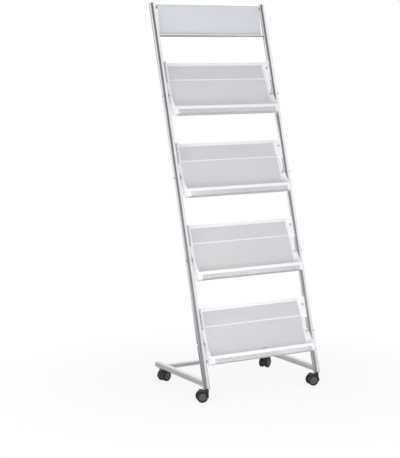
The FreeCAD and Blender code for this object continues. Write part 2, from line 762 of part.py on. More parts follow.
def make_hood(name):
    """Moulded hood: web between the wheels, arched crown over them, swivel boss."""
    body = new_body(name)
    column = "hood_boss_diameter / 2 - hood_boss_margin"
    shoulder = ("trail + crown_inner * cos(web_shoulder * 1deg)",
                "wheel_radius + crown_inner * sin(web_shoulder * 1deg)")
    web = [
        (f"-({column})", "wheel_radius"),
        (f"-({column})", "hood_height"),
        (column, "hood_height"),
        ("trail", "wheel_radius + crown_inner + crown_thickness / 2"),
        shoulder,
        ("trail + axle_boss_radius", "wheel_radius"),
        ("trail + axle_boss_radius / 2", "wheel_radius - axle_boss_radius"),
        ("trail - axle_boss_radius / 2", "wheel_radius - axle_boss_radius"),
    ]
    pad(body, outline(body, "XZ_Plane", web, "web_side"), "web_thickness", name="web")
    crown = ring_sector(body, "XZ_Plane", ("trail", "wheel_radius"),
                        ("crown_inner", "crown_outer"), ("crown_front", "crown_back"),
                        "crown_side")
    pad(body, crown, "crown_width", name="crown")
    boss = circles(body, "XY_Plane", [("0", "0", "hood_boss_diameter")], "boss_round")
    boss.setExpression("AttachmentOffset.Base.z", linked("hood_height - hood_boss_height"))
    pad(body, boss, "hood_boss_height", both_ways=False, name="boss")
    axle_seat = circles(body, "XZ_Plane",
                        [("trail", "wheel_radius", "2 * axle_boss_radius - axle_diameter")],
                        "axle_boss_round")
    last = pad(body, axle_seat, "axle_boss_width", name="axle_boss")
    doc.recompute()
    corners = [Vector(size("trail + axle_boss_radius / 2"), 0,
                      size("wheel_radius - axle_boss_radius")),
               Vector(size("trail - axle_boss_radius / 2"), 0,
                      size("wheel_radius - axle_boss_radius"))]
    rounded = edges_through(last.Shape, corners, Vector(0, 1, 0))
    fillet(body, last, rounded, "web_rounding", name="web_corners")
    bore = circles(body, "XY_Plane", [("0", "0", "pin_bore")], "pin_bore_round")
    bore.setExpression("AttachmentOffset.Base.z", linked("hood_height"))
    pocket(body, bore, "pin_length", name="pin_hole")
    axle_bore = circles(body, "XZ_Plane", [("trail", "wheel_radius", "axle_diameter")],
                        "axle_round")
    pocket(body, axle_bore, name="axle_hole")
    return body


def make_axle(name):
    """Steel pin through the hood, along Y of the caster."""
    body = new_body(name)
    pad(body, circles(body, "XZ_Plane", [("0", "0", "axle_diameter")], "section"),
        "axle_length")
    return body


def make_tyre(name):
    """Soft tread with rounded shoulders, its axis along Y."""
    body = new_body(name)
    profile = [("hub_radius", "-half_width"), ("wheel_radius", "-half_width"),
               ("wheel_radius", "half_width"), ("hub_radius", "half_width")]
    turned = revolve(body, outline(body, "XY_Plane", profile, "profile"))
    doc.recompute()
    radius, half = size("wheel_radius"), size("half_width")
    shoulders = edges_through(turned.Shape, [Vector(radius, -half, 0), Vector(radius, half, 0)])
    fillet(body, turned, shoulders, "tread_rounding")
    return body


def make_hub(name):
    """Moulded wheel centre: rim, thin web on the outer side and a bored boss."""
    body = new_body(name)
    bore, boss = "hub_bore / 2", "hub_boss_diameter / 2"
    web_inner = "hub_outer - hub_wall"
    rim_inner = "hub_radius - hub_wall"
    profile = [(bore, "hub_inner"), (boss, "hub_inner"), (boss, web_inner),
               (rim_inner, web_inner), (rim_inner, "hub_inner"), ("hub_radius", "hub_inner"),
               ("hub_radius", "hub_outer"), (bore, "hub_outer")]
    revolve(body, outline(body, "XY_Plane", profile, "profile"))
    return body


def make_cap(name):
    """Dished cover on the outer side of a wheel."""
    body = new_body(name)
    face = "half_width - cap_hollow"
    groove = "half_width - cap_dish"
    profile = [("0", "hub_outer"), ("cap_radius", "hub_outer"), ("cap_radius", groove),
               ("cap_radius - cap_rim / 2", "half_width"), ("cap_radius - cap_rim", face),
               ("hub_boss_diameter / 2", groove), ("cap_button_diameter / 2", face),
               ("0", face)]
    revolve(body, outline(body, "XY_Plane", profile, "profile"))
    return body


def make_caster(name, x, y, swivel):
    """Four kinds of fixed piece and two wheels, standing at the swivel's angle."""
    stem_foot = Vector(size(x), size(y), 0)
    turn = Rotation(Vector(0, 0, 1), size(swivel))
    caster = Placement(stem_foot, turn)
    axle_place = caster.multiply(
        Placement(Vector(size("trail"), 0, size("wheel_radius")), Rotation()))
    nodes = []

    def put(piece, place):
        piece.Placement = place
        nodes.append(piece)

    put(make_stem(f"{name}_stem"), Placement(stem_foot, Rotation()))
    put(make_hood(f"{name}_hood"), caster)
    put(make_axle(f"{name}_axle"), axle_place)
    for number, half_turn in ((1, 0), (2, 180)):
        outward = Placement(Vector(), Rotation(Vector(0, 0, 1), half_turn))
        shift = Placement(Vector(0, size("wheel_offset"), 0), Rotation())
        wheel = axle_place.multiply(outward).multiply(shift)
        put(make_tyre(f"{name}_wheel_{number}_tyre"), wheel)
        put(make_hub(f"{name}_wheel_{number}_hub"), wheel)
        put(make_cap(f"{name}_wheel_{number}_cap"), wheel)
    return nodes


def make_casters():
    """The four casters."""
    nodes = []
    for end, y in (("front", "front_y"), ("rear", "rear_y")):
        for side in SIDES:
            name = f"{end}_{SIDE_NAMES[side]}"
            nodes += make_caster(name, f"{side} * upright_x", y, f"{name}_swivel")
    return nodes


# ------------------------------------------------------------------------ export
def check(nodes):
    """Stop if any object failed to rebuild or any node's shape is unsound."""
    for item in doc.Objects:
        if {"Invalid", "Error"} & set(item.State):
            raise RuntimeError(f"{item.Name} failed: {item.State}")
    for node in nodes:
        if node.Shape.isNull() or not node.Shape.isValid():
            raise RuntimeError(f"{node.Label} has no sound shape")


def main():
    """Build every sub-part and write one STEP file for each."""
    nodes = make_frame()
    nodes.append(make_header_panel())
    nodes += [make_shelf(index) for index in SHELVES]
    nodes += make_shelf_fasteners()
    nodes += make_casters()
    doc.recompute()
    check(nodes)
    os.makedirs("parts", exist_ok=True)
    for node in nodes:
        node.Shape.exportStep(f"parts/{node.Label}.step")
        print(f"{node.Label}: {len(node.Shape.Solids)} solid(s), {node.Shape.Volume:.0f} mm3")


main()
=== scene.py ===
"""Looks of a mobile display rack for periodicals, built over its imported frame.

Chromed tubes lean back over four twin-wheel casters. Four bent shelves of
powder-coated perforated steel hang between them below a folded header panel.
Everything is in metres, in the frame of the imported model: +X right, +Y back,
+Z up, origin on the floor between the casters.
"""
import logging
import math
from collections.abc import Callable, Iterable
from dataclasses import dataclass
from enum import Enum

import bmesh
import bpy
from mathutils import Matrix, Vector


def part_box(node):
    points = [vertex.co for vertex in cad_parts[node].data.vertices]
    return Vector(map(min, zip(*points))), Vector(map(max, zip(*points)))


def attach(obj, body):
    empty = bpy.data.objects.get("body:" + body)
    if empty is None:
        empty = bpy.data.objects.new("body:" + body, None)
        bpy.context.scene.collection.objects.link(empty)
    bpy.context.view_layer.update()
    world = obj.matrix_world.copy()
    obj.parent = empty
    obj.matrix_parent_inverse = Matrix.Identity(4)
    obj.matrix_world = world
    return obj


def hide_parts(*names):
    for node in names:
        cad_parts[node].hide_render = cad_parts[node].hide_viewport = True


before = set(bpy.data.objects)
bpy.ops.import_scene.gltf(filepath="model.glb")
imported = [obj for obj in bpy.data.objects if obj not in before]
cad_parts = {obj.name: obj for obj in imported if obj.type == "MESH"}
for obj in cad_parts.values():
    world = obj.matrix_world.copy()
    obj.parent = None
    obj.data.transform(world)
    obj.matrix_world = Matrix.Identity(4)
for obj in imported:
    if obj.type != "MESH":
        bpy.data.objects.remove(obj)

LOG = logging.getLogger("display_rack")
MM = 0.001

Sockets = dict[str, bpy.types.NodeSocket]

# The part of a noise pattern's values that is stretched over two limits.
NOISE_RANGE = {"From Min": 0.3, "From Max": 0.7}
SMOOTH = {"interpolation_type": "SMOOTHSTEP"}
COLOURS = {"data_type": "RGBA"}
# Places of a colour mix's two colours among its inputs, and of its result.
FIRST, SECOND, MIXED = 6, 7, 2


# ------------------------------------------------------------------ node helpers
def linear(code: str) -> tuple[float, float, float, float]:
    """Turn an sRGB hex colour into the linear colour that shaders work in.

    Args:
        code: Six hex digits after a hash sign.

    Returns:
        Linear red, green, blue and an alpha of one.
    """
    channels = [int(code[start:start + 2], 16) / 255 for start in (1, 3, 5)]
    red, green, blue = (
        value / 12.92 if value <= 0.04045 else ((value + 0.055) / 1.055) ** 2.4
        for value in channels
    )
    return red, green, blue, 1.0


def add_node(
    tree: bpy.types.NodeTree,
    kind: str,
    settings: dict[str, object] | None = None,
    inputs: dict[str | int, object] | None = None,
    stops: Iterable[tuple[float, str]] = (),
) -> bpy.types.Node:
    """Add one node with its settings and links.

    Args:
        tree: Tree that takes the node.
        kind: Blender's name for the kind of node.
        settings: Attributes of the node and their values.
        inputs: For each input socket, a plain value or the output that feeds it.
        stops: Places and hex colours of a colour ramp's stops.

    Returns:
        The new node.
    """
    node = tree.nodes.new(kind)
    for name, value in (settings or {}).items():
        setattr(node, name, value)
    for key, value in (inputs or {}).items():
        socket = node.inputs[key]
        if isinstance(value, bpy.types.NodeSocket):
            tree.links.new(value, socket)
        else:
            socket.default_value = value
    for index, (place, code) in enumerate(stops):
        elements = node.color_ramp.elements
        if index == len(elements):
            elements.new(1.0)
        elements[index].position = place
        elements[index].color = linear(code)
    return node


class Space(Enum):
    """Coordinates that a pattern is fixed to."""

    OBJECT = "Object"
    DIRECTION = "Generated"


# ---------------------------------------------------------------------- finishes
@dataclass(frozen=True)
class Finish:
    """A surface finish. Its material is made once and shared by its pieces."""

    name: str
    colour: str
    roughness: float
    metallic: float = 0.0
    # What the pattern adds to the roughness, from its dark to its light parts.
    gloss_spread: tuple[float, float] = (0.0, 0.05)

    def rough_range(self) -> dict[str, float]:
        """Give the inputs that stretch a noise over the finish's roughness.

        Returns:
            The limits of a Map Range node.
        """
        low, high = self.gloss_spread
        return {**NOISE_RANGE, "To Min": self.roughness + low, "To Max": self.roughness + high}

    def material(self) -> bpy.types.Material:
        """Make the finish's material, or give the one that is already made.

        Returns:
            The material.
        """
        made = bpy.data.materials.get(self.name)
        if made is not None:
            return made
        made = bpy.data.materials.new(self.name)
        made.use_nodes = True
        tree = made.node_tree
        shader = tree.nodes["Principled BSDF"]
        shader.inputs["Metallic"].default_value = self.metallic
        place = add_node(tree, "ShaderNodeTexCoord").outputs[Space.OBJECT.value]
        for name, socket in self.shade(tree, place).items():
            tree.links.new(socket, shader.inputs[name])
        return made

    def shade(self, tree: bpy.types.NodeTree, place: bpy.types.NodeSocket) -> Sockets:
        """Make the finish's patterns.

        Args:
            tree: The material's tree.
            place: Coordinates fixed to the object.

        Returns:
            What feeds each patterned input of the Principled node.
        """
        raise NotImplementedError


@dataclass(frozen=True)
class BrightChrome(Finish):
    """Decorative chrome over polished steel: near-mirror, with faint buffing lines."""

    cloud_colour: str = "#e9ebee"
    clouds: float = 60 * MM
    lines: float = 2 * MM

    def shade(self, tree: bpy.types.NodeTree, place: bpy.types.NodeSocket) -> Sockets:
        """Buffing lines run across the uprights, and are drawn coarser than real grit.

        Args:
            tree: The material's tree.
            place: Coordinates fixed to the object.

        Returns:
            Colour, roughness and normal.
        """
        clouds = add_node(
            tree,
            "ShaderNodeTexNoise",
            inputs={"Vector": place, "Scale": 1 / self.clouds, "Detail": 3.0},
        )
        colour = add_node(
            tree,
            "ShaderNodeValToRGB",
            inputs={"Fac": clouds.outputs["Fac"]},
            stops=[(0.3, self.cloud_colour), (0.7, self.colour)],
        )
        along = add_node(
            tree, "ShaderNodeMapping", inputs={"Vector": place, "Scale": (0.15, 1.0, 1.0)}
        )
        lines = add_node(
            tree,
            "ShaderNodeTexNoise",
            inputs={
                "Vector": along.outputs["Vector"], "Scale": 1 / self.lines, "Detail": 2.0,
            },
        )
        rough = add_node(
            tree,
            "ShaderNodeMapRange",
            inputs={"Value": lines.outputs["Fac"], **self.rough_range()},
        )
        bump = add_node(
            tree,
            "ShaderNodeBump",
            inputs={"Height": lines.outputs["Fac"], "Strength": 0.03, "Distance": 0.02 * MM},
        )
        return {
            "Base Color": colour.outputs["Color"],
            "Roughness": rough.outputs["Result"],
            "Normal": bump.outputs["Normal"],
        }


@dataclass(frozen=True)
class PowderCoat(Finish):
    """Satin powder coat: fine orange peel, with painted shade darkening each hole's rim."""

    gloss_spread: tuple[float, float] = (-0.04, 0.06)
    clouds: float = 90 * MM
    cloud_share: float = 0.12
    peel: float = 0.9 * MM
    # Painted shade round the holes' rims: its colour, and its strength on a fully marked rim.
    rim_shade_colour: str = "#4b4c54"
    rim_shade_share: float = 0.9

    def shade(self, tree: bpy.types.NodeTree, place: bpy.types.NodeSocket) -> Sockets:
        """Faint clouds and orange peel; painted rim shade comes from the mesh's painted_rim_shade
        marks.

        Args:
            tree: The material's tree.
            place: Coordinates fixed to the object.

        Returns:
            Colour, roughness and normal.
        """
        cloud_noise = add_node(
            tree,
            "ShaderNodeTexNoise",
            inputs={"Vector": place, "Scale": 1 / self.clouds, "Detail": 3.0},
        )
        clouds = add_node(
            tree,
            "ShaderNodeValToRGB",
            inputs={"Fac": cloud_noise.outputs["Fac"]},
            stops=[(0.3, self.colour), (0.7, "#ffffff")],
        )
        soft = add_node(
            tree,
            "ShaderNodeMix",
            COLOURS,
            {
                "Factor": self.cloud_share,
                FIRST: linear(self.colour),
                SECOND: clouds.outputs["Color"],
            },
        )
        # Painted shade: the coat darkens toward each hole's rim, as far as the mesh marks it.
        rim = add_node(tree, "ShaderNodeAttribute", {"attribute_name": "painted_rim_shade"})
        rim_shade_amount = add_node(
            tree,
            "ShaderNodeMapRange",
            inputs={"Value": rim.outputs["Fac"], "To Max": self.rim_shade_share},
        )
        coat = add_node(
            tree,
            "ShaderNodeMix",
            COLOURS,
            {
                "Factor": rim_shade_amount.outputs["Result"],
                FIRST: soft.outputs[MIXED],
                SECOND: linear(self.rim_shade_colour),
            },
        )
        peel = add_node(
            tree,
            "ShaderNodeTexNoise",
            inputs={"Vector": place, "Scale": 1 / self.peel, "Detail": 1.0},
        )
        rough = add_node(
            tree,
            "ShaderNodeMapRange",
            inputs={"Value": peel.outputs["Fac"], **self.rough_range()},
        )
        bump = add_node(
            tree,
            "ShaderNodeBump",
            inputs={"Height": peel.outputs["Fac"], "Strength": 0.12, "Distance": 0.06 * MM},
        )
        return {
            "Base Color": coat.outputs[MIXED],
            "Roughness": rough.outputs["Result"],
            "Normal": bump.outputs["Normal"],
        }


@dataclass(frozen=True)
class PunchedEdge(Finish):
    """Walls of the punched holes, where the powder barely covers the steel: dull grey, partly
    painted shade.
    """

    gloss_spread: tuple[float, float] = (0.0, 0.15)
    speck_colour: str = "#b4b6b9"
    specks: float = 1 * MM

    def shade(self, tree: bpy.types.NodeTree, place: bpy.types.NodeSocket) -> Sockets:
        """Specks of thicker coat.

        Args:
            tree: The material's tree.
            place: Coordinates fixed to the object.

        Returns:
            Colour and roughness.
        """
        specks = add_node(
            tree,
            "ShaderNodeTexNoise",
            inputs={"Vector": place, "Scale": 1 / self.specks, "Detail": 2.0},
        )
        colour = add_node(
            tree,
            "ShaderNodeValToRGB",
            inputs={"Fac": specks.outputs["Fac"]},
            stops=[(0.35, self.colour), (0.75, self.speck_colour)],
        )
        rough = add_node(
            tree,
            "ShaderNodeMapRange",
            inputs={"Value": specks.outputs["Fac"], **self.rough_range()},
        )
        return {"Base Color": colour.outputs["Color"], "Roughness": rough.outputs["Result"]}


@dataclass(frozen=True)
class SilverCoat(Finish):
    """Silver powder coat with fine metal flake: cool grey with a soft sheen."""

    gloss_spread: tuple[float, float] = (-0.05, 0.08)
    shade_colour: str = "#d2d5db"
    flake: float = 1 * MM
    clouds: float = 120 * MM
    peel: float = 1.2 * MM

    def shade(self, tree: bpy.types.NodeTree, place: bpy.types.NodeSocket) -> Sockets:
        """Flake, drawn coarser than the real 0.05 mm, over soft clouds.

        Args:
            tree: The material's tree.
            place: Coordinates fixed to the object.

        Returns:
            Colour, roughness and normal.
        """
        flake = add_node(
            tree, "ShaderNodeTexVoronoi", inputs={"Vector": place, "Scale": 1 / self.flake}
        )
        sparkle = add_node(
            tree,
            "ShaderNodeMapRange",
            inputs={
                "Value": flake.outputs["Distance"], "From Max": 0.7,
                "To Min": 0.35, "To Max": 0.65,
            },
        )
        clouds = add_node(
            tree,
            "ShaderNodeTexNoise",
            inputs={"Vector": place, "Scale": 1 / self.clouds, "Detail": 3.0},
        )
        blend = add_node(
            tree,
            "ShaderNodeMix",
            {"data_type": "FLOAT"},
            {"Factor": 0.5, "A": clouds.outputs["Fac"], "B": sparkle.outputs["Result"]},
        )
        colour = add_node(
            tree,
            "ShaderNodeValToRGB",
            inputs={"Fac": blend.outputs["Result"]},
            stops=[(0.3, self.shade_colour), (0.7, self.colour)],
        )
        rough = add_node(
            tree,
            "ShaderNodeMapRange",
            inputs={"Value": sparkle.outputs["Result"], **self.rough_range()},
        )
        peel = add_node(
            tree,
            "ShaderNodeTexNoise",
            inputs={"Vector": place, "Scale": 1 / self.peel, "Detail": 1.0},
        )
        bump = add_node(
            tree,
            "ShaderNodeBump",
            inputs={"Height": peel.outputs["Fac"], "Strength": 0.1, "Distance": 0.05 * MM},
        )
        return {
            "Base Color": colour.outputs["Color"],
            "Roughness": rough.outputs["Result"],
            "Normal": bump.outputs["Normal"],
        }


@dataclass(frozen=True)
class ZincPlate(Finish):
    """Zinc plate on turned steel: bluish grey, slightly frosted crystals."""

    gloss_spread: tuple[float, float] = (-0.06, 0.1)
    crystal_colour: str = "#a6a9ad"
    crystals: float = 0.8 * MM
    frost: float = 2 * MM

    def shade(self, tree: bpy.types.NodeTree, place: bpy.types.NodeSocket) -> Sockets:
        """Crystals, drawn coarser than real ones, vary the tint, and frost the gloss.

        Args:
            tree: The material's tree.
            place: Coordinates fixed to the object.

        Returns:
            Colour and roughness.
        """
        crystals = add_node(
            tree, "ShaderNodeTexVoronoi", inputs={"Vector": place, "Scale": 1 / self.crystals}
        )
        colour = add_node(
            tree,
            "ShaderNodeValToRGB",
            inputs={"Fac": crystals.outputs["Distance"]},
            stops=[(0.0, self.colour), (0.8, self.crystal_colour)],
        )
        frost = add_node(
            tree,
            "ShaderNodeTexNoise",
            inputs={"Vector": place, "Scale": 1 / self.frost, "Detail": 3.0},
        )
        rough = add_node(
            tree,
            "ShaderNodeMapRange",
            inputs={"Value": frost.outputs["Fac"], **self.rough_range()},
        )
        return {"Base Color": colour.outputs["Color"], "Roughness": rough.outputs["Result"]}


@dataclass(frozen=True)
class MouldedPart(Finish):
    """Moulded plastic or rubber: worn in patches, with a grain that scatters light."""

    gloss_spread: tuple[float, float] = (-0.05, 0.1)
    worn_colour: str = "#46474b"
    patches: float = 9 * MM
    patch_detail: float = 6.0
    grain: float = 0.6 * MM
    grain_strength: float = 0.25
    grain_depth: float = 0.05 * MM

    def shade(self, tree: bpy.types.NodeTree, place: bpy.types.NodeSocket) -> Sockets:
        """Worn or dusty patches, and the mould's grain, drawn coarser than 0.1 mm.

        Args:
            tree: The material's tree.
            place: Coordinates fixed to the object.

        Returns:
            Colour, roughness and normal.
        """
        patches = add_node(
            tree,
            "ShaderNodeTexNoise",
            inputs={"Vector": place, "Scale": 1 / self.patches, "Detail": self.patch_detail},
        )
        colour = add_node(
            tree,
            "ShaderNodeValToRGB",
            inputs={"Fac": patches.outputs["Fac"]},
            stops=[(0.45, self.colour), (0.8, self.worn_colour)],
        )
        grain = add_node(
            tree,
            "ShaderNodeTexNoise",
            inputs={"Vector": place, "Scale": 1 / self.grain, "Detail": 2.0},
        )
        rough = add_node(
            tree,
            "ShaderNodeMapRange",
            inputs={"Value": grain.outputs["Fac"], **self.rough_range()},
        )
        bump = add_node(
            tree,
            "ShaderNodeBump",
            inputs={
                "Height": grain.outputs["Fac"],
                "Strength": self.grain_strength,
                "Distance": self.grain_depth,
            },
        )
        return {
            "Base Color": colour.outputs["Color"],
            "Roughness": rough.outputs["Result"],
            "Normal": bump.outputs["Normal"],
        }


@dataclass(frozen=True)
class MouldedNylon(MouldedPart):
    """Injection-moulded nylon: scuffs from handling over a fine spark-eroded grain."""


@dataclass(frozen=True)
class TreadRubber(MouldedPart):
    """Soft thermoplastic rubber tread: matt black with grey floor dust worked in."""

    gloss_spread: tuple[float, float] = (-0.08, 0.08)
    worn_colour: str = "#3a3b3e"
    patches: float = 6 * MM
    patch_detail: float = 5.0
    grain: float = 0.5 * MM
    grain_strength: float = 0.3
    grain_depth: float = 0.06 * MM


CHROME = BrightChrome("bright_chrome", "#f4f5f7", 0.07, 1.0)
POWDER = PowderCoat("satin_powder_coat", "#f0f0f4", 0.42)
PUNCHED = PunchedEdge("punched_edge_coat", "#85878b", 0.6)
SILVER = SilverCoat("silver_powder_coat", "#dadce1", 0.5)
ZINC = ZincPlate("bright_zinc_plate", "#c6c9cd", 0.3, 1.0)
PALE_ZINC = ZincPlate("satin_zinc_plate", "#eceef0", 0.5, 0.3, crystal_colour="#c9ccd0")
DARK_NYLON = MouldedNylon("dark_moulded_nylon", "#323437", 0.5)
DISC_NYLON = MouldedNylon("grey_disc_nylon", "#504f54", 0.45, worn_colour="#636267")
PALE_NYLON = MouldedNylon("pale_moulded_nylon", "#c4c5c6", 0.45, worn_colour="#a7a8aa")
RUBBER = TreadRubber("black_tread_rubber", "#1d1e20", 0.72)


# --------------------------------------------------------------- modelling helpers
def dress(names: Iterable[str], finish: Finish) -> None:
    """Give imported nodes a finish, in the slots they already have.

    Args:
        names: The nodes.
        finish: What their surfaces are.
    """
    for name in names:
        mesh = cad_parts[name].data
        if not mesh.materials:
            mesh.materials.append(finish.material())
        for index in range(len(mesh.materials)):
            mesh.materials[index] = finish.material()


def deselect() -> None:
    """Leave nothing selected, in object mode."""
    if bpy.context.mode != "OBJECT":
        bpy.ops.object.mode_set(mode="OBJECT")
    bpy.ops.object.select_all(action="DESELECT")


def activate(piece: bpy.types.Object) -> None:
    """Select one object alone and make it active.

    Args:
        piece: The object.
    """
    deselect()
    piece.select_set(True)
    bpy.context.view_layer.objects.active = piece


def use_modifier(piece: bpy.types.Object, kind: str, **settings: object) -> None:
    """Add a modifier to an object and apply it.

    Args:
        piece: The object.
        kind: Blender's name for the kind of modifier.
        **settings: The modifier's own values.
    """
    activate(piece)
    bpy.ops.object.modifier_add(type=kind)
    modifier = piece.modifiers[-1]
    for name, value in settings.items():
        setattr(modifier, name, value)
    bpy.ops.object.modifier_apply(modifier=modifier.name)


def choose_faces(piece: bpy.types.Object, keep: Callable[[bmesh.types.BMFace], bool]) -> None:
    """Select, in edit mode, the faces that pass a test.

    Args:
        piece: The object being edited.
        keep: Says whether a face is wanted.
    """
    bpy.ops.mesh.select_mode(type="FACE")
    bpy.ops.mesh.select_all(action="DESELECT")
    mesh = bmesh.from_edit_mesh(piece.data)
    for face in mesh.faces:
        face.select_set(keep(face))
    mesh.select_flush_mode()
    bmesh.update_edit_mesh(piece.data)


def set_place(piece: bpy.types.Object, place: Matrix) -> None:
    """Move an object by a matrix and write the move into its mesh.

    Args:
        piece: The object, which stands at the origin.
        place: Where it goes.
    """
    activate(piece)
    piece.matrix_world = place
    bpy.ops.object.transform_apply(location=True, rotation=True, scale=True)


def turned(degrees: float) -> Matrix:
    """Give the rotation about X by an angle in degrees."""
    return Matrix.Rotation(math.radians(degrees), 4, "X")


# -------------------------------------------------------------------- sub-assemblies
@dataclass
class TubeFrame:
    """Uprights, foot tubes, crossbar, header rails and the plugs in their ends."""

    tubes: tuple[str, ...] = (
        "left_upright", "right_upright", "left_foot_tube", "right_foot_tube",
        "rear_crossbar", "header_lower_rail", "header_upper_rail", "upright_top_caps",
    )
    end_caps: tuple[str, ...] = ("foot_end_caps",)
    sockets: tuple[str, ...] = ("front_stem_sockets",)
    bushes: tuple[str, ...] = ("rear_stem_bushes",)

    def build(self) -> None:
        """Dress the tubes and plugs."""
        dress(self.tubes, CHROME)
        dress(self.end_caps, PALE_NYLON)
        dress(self.sockets, DARK_NYLON)
        dress(self.bushes, DISC_NYLON)
        LOG.info("tube frame and its plugs dressed")


@dataclass
class HeaderPanel:
    """Plain folded panel between the tops of the uprights."""

    node: str = "header_panel"

    def build(self) -> None:
        """Dress the panel."""
        dress([self.node], SILVER)
        LOG.info("header panel dressed")


@dataclass
class PerforatedShelf:
    """Shelf of one bent sheet, punched in staggered rows.

    One punched zone runs from the lip round the tray and up the panel to the
    crease, a second one covers the top above the crease. Points of the shelf's
    own section are (forward, up) from its heel, with the panel along up. The
    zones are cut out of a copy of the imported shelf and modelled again, punched.
    """

    count: int = 4
    heel: tuple[float, float] = (-153.543 * MM, 125.671 * MM)
    lean: float = 22.0
    sheet: float = 1.2 * MM
    pitch: float = 5.0 * MM
    hole: float = 3.2 * MM
    half_width: float = 214.0 * MM
    tray_depth: float = 32.0 * MM
    bend_radius: float = 3.0 * MM
    bend_steps: int = 4
    lip_top: float = 19.0 * MM
    panel_top: float = 138.4 * MM
    crease_up: float = 139.0 * MM
    crease_angle: float = 6.5
    top_zone: tuple[float, float] = (1.2 * MM, 58.95 * MM)
    cut_margin: float = 0.1 * MM
    # Points this close are one: in the grid of cells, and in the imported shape.
    cell_weld: float = 0.01 * MM
    blank_weld: float = 0.002 * MM
    # Points this close to an edge or a hinge lie on it.
    on_edge: float = 0.02 * MM
    on_hinge: float = 0.001 * MM
    # Share of its area above which a cell counts as whole.
    whole_cell: float = 0.999
    smooth_below: float = 30.0
    # Share of a rim's painted shade that the lip and tray get, where it is kept fainter.
    tray_rim_shade_share: float = 0.3

    def lay_cells(self, name: str, height: float) -> bpy.types.Object:
        """Lay hexagons, one for each hole, past all edges of a rectangle on X.

        Args:
            name: Name of the object.
            height: Height of the rectangle, whose top edge touches a row of cells.

        Returns:
            The hexagons, joined along their edges, in edit mode.
        """
        row = self.pitch * math.sqrt(3) / 2
        reach = self.pitch / math.sqrt(3)
        rows = math.floor((height - 2 * reach) / row) + 1
        first_row = height - reach - (rows - 1) * row
        # A few spare cells each way, which the edges cut off.
        columns = 2 * math.ceil(self.half_width / self.pitch) + 4
        pairs = math.ceil(height / (2 * row)) + 2
        deselect()
        corner = (-columns * self.pitch / 2, first_row - 2 * row, 0)
        bpy.ops.mesh.primitive_circle_add(
            vertices=6, radius=reach, fill_type="NGON", location=corner
        )
        piece = bpy.context.object
        piece.name = name
        bpy.ops.object.transform_apply(location=True)
        steps = (
            (2, (self.pitch / 2, row, 0)),
            (columns, (self.pitch, 0, 0)),
            (pairs, (0, 2 * row, 0)),
        )
        for count, step in steps:
            use_modifier(
                piece,
                "ARRAY",
                count=count,
                use_relative_offset=False,
                use_constant_offset=True,
                constant_offset_displace=step,
            )
        bpy.ops.object.mode_set(mode="EDIT")
        bpy.ops.mesh.select_all(action="SELECT")
        bpy.ops.mesh.remove_doubles(threshold=self.cell_weld)
        return piece

    def flat_sheet(self, name: str, height: float, faint_shade_below: float = 0.0) -> bpy.types.Object:
        """Model a flat punched rectangle in the XY plane, its lower edge on X.

        Args:
            name: Name of the object.
            height: Height up the sheet; the width is the zone's.
            faint_shade_below: Height below which the rims' painted shade is fainter.

        Returns:
            The sheet, as yet without thickness.
        """
        piece = self.lay_cells(name, height)
        edges = (
            ((self.half_width, 0, 0), (1, 0, 0)),
            ((-self.half_width, 0, 0), (-1, 0, 0)),
            ((0, height, 0), (0, 1, 0)),
            ((0, 0, 0), (0, -1, 0)),
        )
        for point, normal in edges:
            bpy.ops.mesh.select_all(action="SELECT")
            bpy.ops.mesh.bisect(plane_co=point, plane_no=normal, clear_outer=True)
        # Only a cell that no edge has cut gets a hole.
        whole = self.whole_cell * self.pitch * self.pitch * math.sqrt(3) / 2
        choose_faces(piece, lambda face: face.calc_area() > whole)
        bpy.ops.mesh.inset(thickness=(self.pitch - self.hole) / 2, use_individual=True)
        bpy.ops.mesh.delete(type="FACE")
        bpy.ops.object.mode_set(mode="OBJECT")
        self.mark_rim_shade(piece, height, faint_shade_below)
        return piece

    def mark_rim_shade(self, piece: bpy.types.Object, height: float, faint_shade_below: float) -> None:
        """Mark the points on the holes' rims, where the coat gets painted shade.

        Args:
            piece: The flat sheet.
            height: Its height.
            faint_shade_below: Height below which the rims' painted shade is fainter.
        """
        mesh = bmesh.new()
        mesh.from_mesh(piece.data)
        side = self.half_width - self.on_edge
        marks = []
        for point in mesh.verts:
            inside = abs(point.co.x) < side and self.on_edge < point.co.y < height - self.on_edge
            # Full painted shade on a rim point above that height, fainter on lip and tray.
            mark = 1.0 if point.co.y > faint_shade_below else self.tray_rim_shade_share
            marks.append(mark if point.is_boundary and inside else 0.0)
        mesh.free()
        layer = piece.data.attributes.new("painted_rim_shade", "FLOAT", "POINT")
        layer.data.foreach_set("value", marks)

    def fold(self, piece: bpy.types.Object, hinges: list[float]) -> None:
        """Bend a flat sheet a little forward at each of a run of lines.

        Args:
            piece: The flat sheet; what is above the last line stays in place.
            hinges: The lines' heights, from the lowest up.
        """
        activate(piece)
        bpy.ops.object.mode_set(mode="EDIT")
        for hinge in hinges:
            bpy.ops.mesh.select_all(action="SELECT")
            bpy.ops.mesh.bisect(plane_co=(0, hinge, 0), plane_no=(0, 1, 0))
        bpy.ops.mesh.select_mode(type="VERT")
        flat = [point.co.y for point in bmesh.from_edit_mesh(piece.data).verts]
        for hinge in hinges:
            mesh = bmesh.from_edit_mesh(piece.data)
            bpy.ops.mesh.select_all(action="DESELECT")
            for point, height in zip(mesh.verts, flat):
                point.select_set(height < hinge - self.on_hinge)
            mesh.select_flush_mode()
            bmesh.update_edit_mesh(piece.data)
            # With no window this operator turns the other way round the axis.
            bpy.ops.transform.rotate(
                value=math.radians(90 / self.bend_steps),
                orient_axis="X",
                orient_type="GLOBAL",
                center_override=(0, hinge, 0),
            )
        bpy.ops.object.mode_set(mode="OBJECT")

